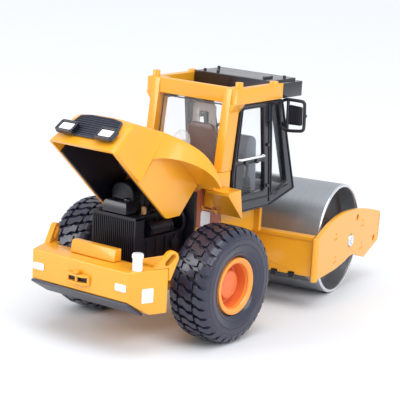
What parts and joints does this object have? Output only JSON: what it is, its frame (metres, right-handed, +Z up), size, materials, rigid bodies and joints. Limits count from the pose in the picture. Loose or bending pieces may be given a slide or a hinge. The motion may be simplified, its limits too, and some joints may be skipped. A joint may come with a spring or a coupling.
{
  "type": "toy road roller",
  "caption": "Toy single-drum road roller: articulated drum frame, lifting engine hood, glazed cab with a protective frame, treaded rear wheels.",
  "frame": {"origin": "middle of the bounding box at ground level, under the front of the cab", "axes": "+X forward to the drum along the rear chassis, +Y to the driver's left, +Z up"},
  "size_m": [0.1608, 0.0832, 0.0874],
  "materials": {
    "yellow_paint": "gloss",
    "orange_plastic": "satin",
    "black_plastic": "satin",
    "dark_grey_plastic": "satin",
    "grey_plastic": "satin",
    "seat_plastic": "satin",
    "white_plastic": "gloss",
    "clear_glazing": "clear gloss",
    "tyre_rubber": "matte",
    "drum_steel": "brushed",
    "bright_steel": "polished"
  },
  "bodies": {
    "chassis": {"chassis_frame": "yellow_paint", "rear_bumper": "yellow_paint", "bumper_underplate": "dark_grey_plastic", "hood_rest_block": "yellow_paint", "tow_hook": "yellow_paint", "lifting_ear_right": "yellow_paint", "lifting_ear_left": "yellow_paint", "marker_lamp": "white_plastic", "reflector_right": "white_plastic", "reflector_left": "white_plastic", "radiator": "black_plastic", "radiator_tank": "dark_grey_plastic", "engine_block": "black_plastic", "firewall": "black_plastic", "cab_base": "yellow_paint", "fender_wedge_right": "yellow_paint", "fender_wedge_left": "yellow_paint", "rops_frame": "yellow_paint", "cab_floor": "black_plastic", "door_frame_right": "black_plastic", "door_frame_left": "black_plastic", "door_glass_right": "clear_glazing", "door_glass_left": "clear_glazing", "windscreen_frame": "black_plastic", "windscreen": "clear_glazing", "rear_window": "clear_glazing", "roof_box": "black_plastic", "mirror_right": "black_plastic", "mirror_left": "black_plastic", "seat_cushion": "seat_plastic", "seat_backrest": "seat_plastic", "steering_wheel": "black_plastic", "control_console": "grey_plastic", "lever_boot": "black_plastic", "handrail_right": "white_plastic", "handrail_left": "white_plastic", "air_precleaner": "white_plastic", "hood_hinge_pin": "bright_steel", "steering_pin": "bright_steel"},
    "hood": {"hood_shell": "yellow_paint", "grille": "dark_grey_plastic", "headlight_housing_right": "black_plastic", "headlight_housing_left": "black_plastic", "headlight_lens_right": "white_plastic", "headlight_lens_left": "white_plastic"},
    "drum_frame": {"yoke_plate_right": "yellow_paint", "yoke_plate_left": "yellow_paint", "yoke_rear_beam": "yellow_paint", "yoke_front_beam": "yellow_paint", "drum_scraper": "black_plastic", "steering_tongue": "yellow_paint", "drum_bearing_right": "drum_steel", "drum_bearing_left": "drum_steel"},
    "drum": {"drum_shell": "drum_steel", "drum_hub": "drum_steel"},
    "rear_wheels": {"rear_axle": "bright_steel", "tyre_right": "tyre_rubber", "tyre_left": "tyre_rubber", "wheel_rim_right": "orange_plastic", "wheel_rim_left": "orange_plastic"}
  },
  "joints": [
    {"name": "articulation_steer", "type": "hinge", "parent": "chassis", "child": "drum_frame", "pos_m": [0.00435, -0.00599, 0.0205], "axis": [0, 0, 1], "range_deg": [-45.3, 24.7]},
    {"name": "hood_hinge", "type": "hinge", "parent": "chassis", "child": "hood", "pos_m": [-0.02795, -0.00599, 0.058], "axis": [0, 1, 0], "range_deg": [-42, 0]},
    {"name": "drum_spin", "type": "hinge", "parent": "drum_frame", "child": "drum", "pos_m": [0.04203, 0.00085, 0.0214], "axis": [-0.1788, 0.9839, 0], "continuous": true},
    {"name": "rear_wheels_spin", "type": "hinge", "parent": "chassis", "child": "rear_wheels", "pos_m": [-0.03595, -0.00599, 0.0204], "axis": [0, 1, 0], "continuous": true}
  ]
}
